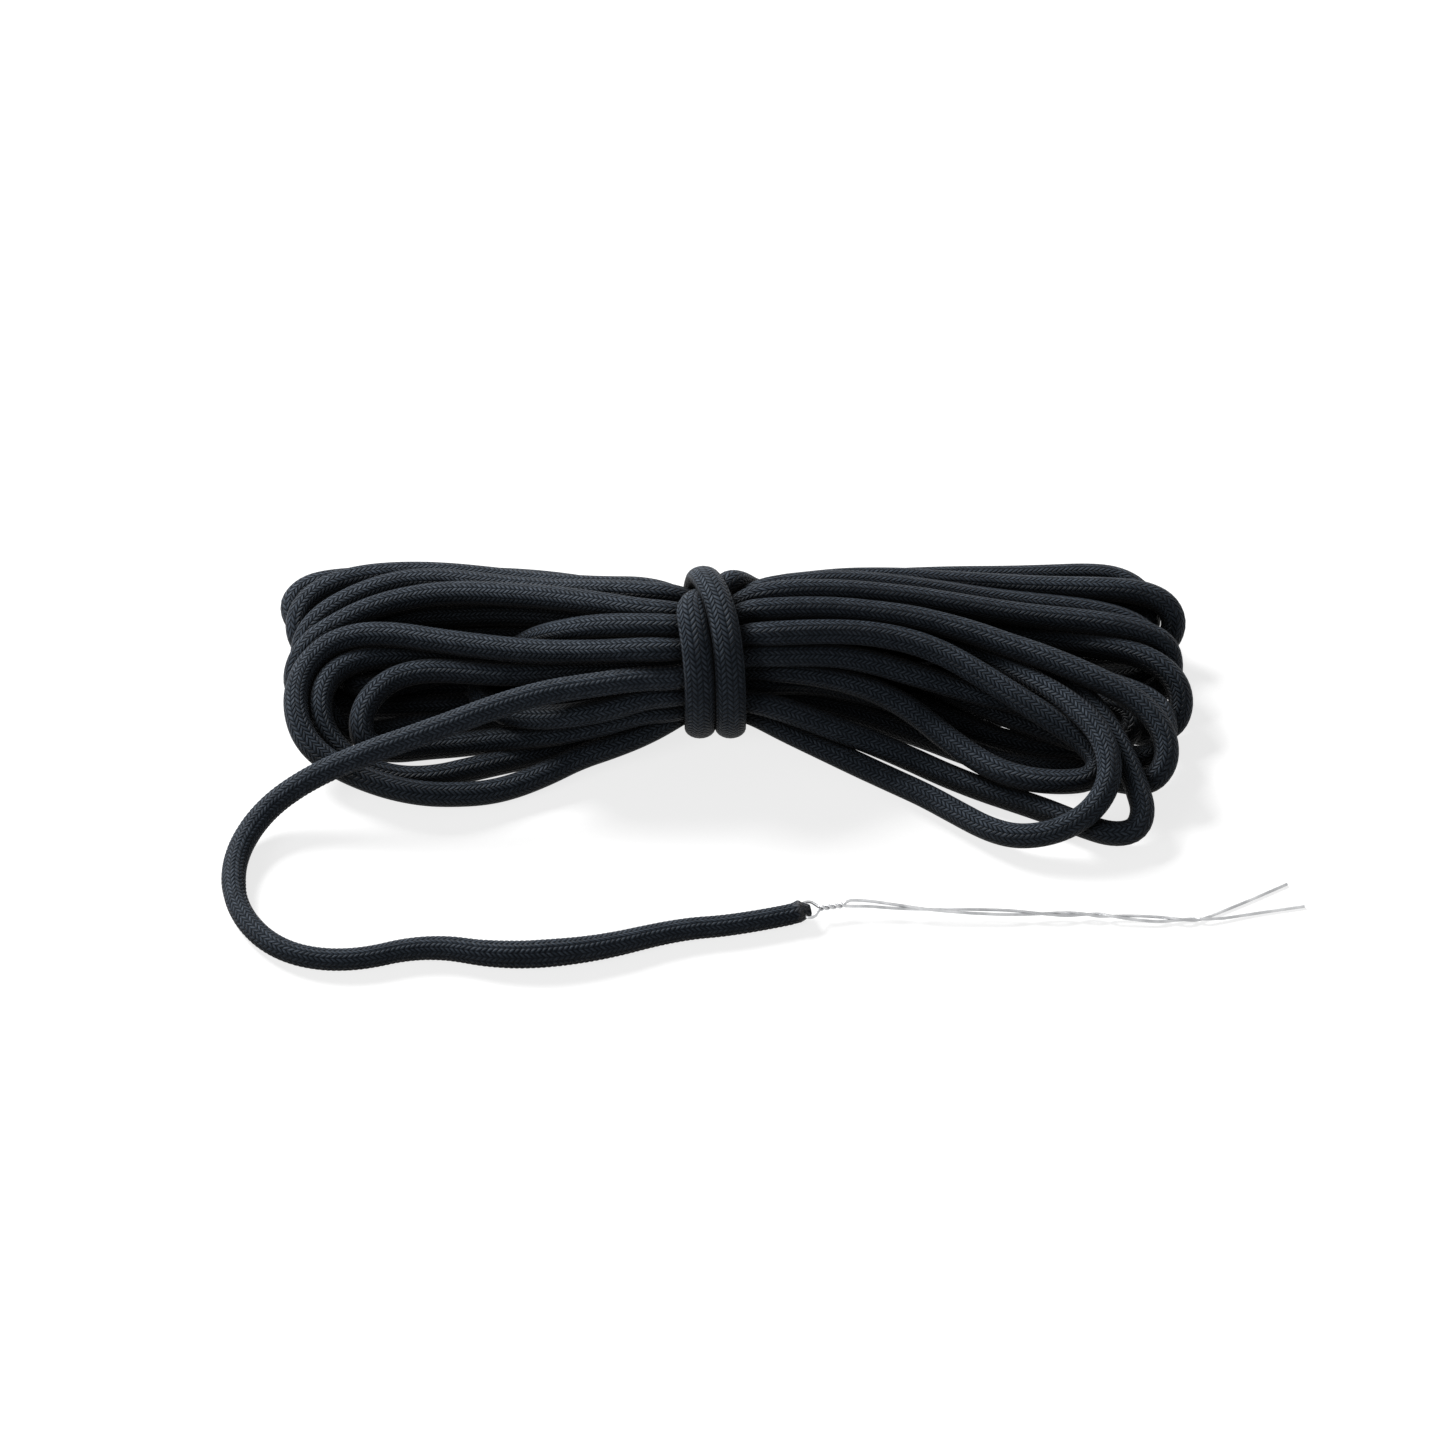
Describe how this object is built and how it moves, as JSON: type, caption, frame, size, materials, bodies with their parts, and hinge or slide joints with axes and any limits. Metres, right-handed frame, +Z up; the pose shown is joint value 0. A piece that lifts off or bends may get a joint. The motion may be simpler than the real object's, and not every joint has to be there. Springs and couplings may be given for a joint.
{
  "type": "hank of braided cord with threading wire",
  "caption": "Hank of black braided cord, tied at the waist with two wraps of its own end, with one free end that carries a doubled steel threading wire.",
  "frame": {"origin": "middle of the whole object's bounding box, on the surface that it lies on", "axes": "+X along the hank towards the wire's loose ends, +Y towards the back, away from the free cord, +Z up"},
  "size_m": [0.2156, 0.1041, 0.0352],
  "materials": {
    "braided_cord": "matte braided polyester",
    "fused_tip": "matte, fibres fused by heat",
    "core_yarn": "matte yarn",
    "steel_wire": "bright drawn wire"
  },
  "bodies": {
    "cord": {"hank_left_lobe": "braided_cord", "hank_right_lobe": "braided_cord", "hank_waist": "braided_cord", "tie_wrap_left": "braided_cord", "tie_wrap_right": "braided_cord", "tucked_end": "braided_cord", "lead_cord": "braided_cord", "tip_sheath": "fused_tip", "tip_core": "core_yarn"},
    "leader": {"threading_wire": "steel_wire"}
  },
  "joints": [
    {"name": "leader_lift", "type": "hinge", "parent": "cord", "child": "leader", "pos_m": [0.00835, -0.03591, 0.0025], "axis": [0.1908, -0.9816, 0], "range_deg": [0, 75]}
  ]
}
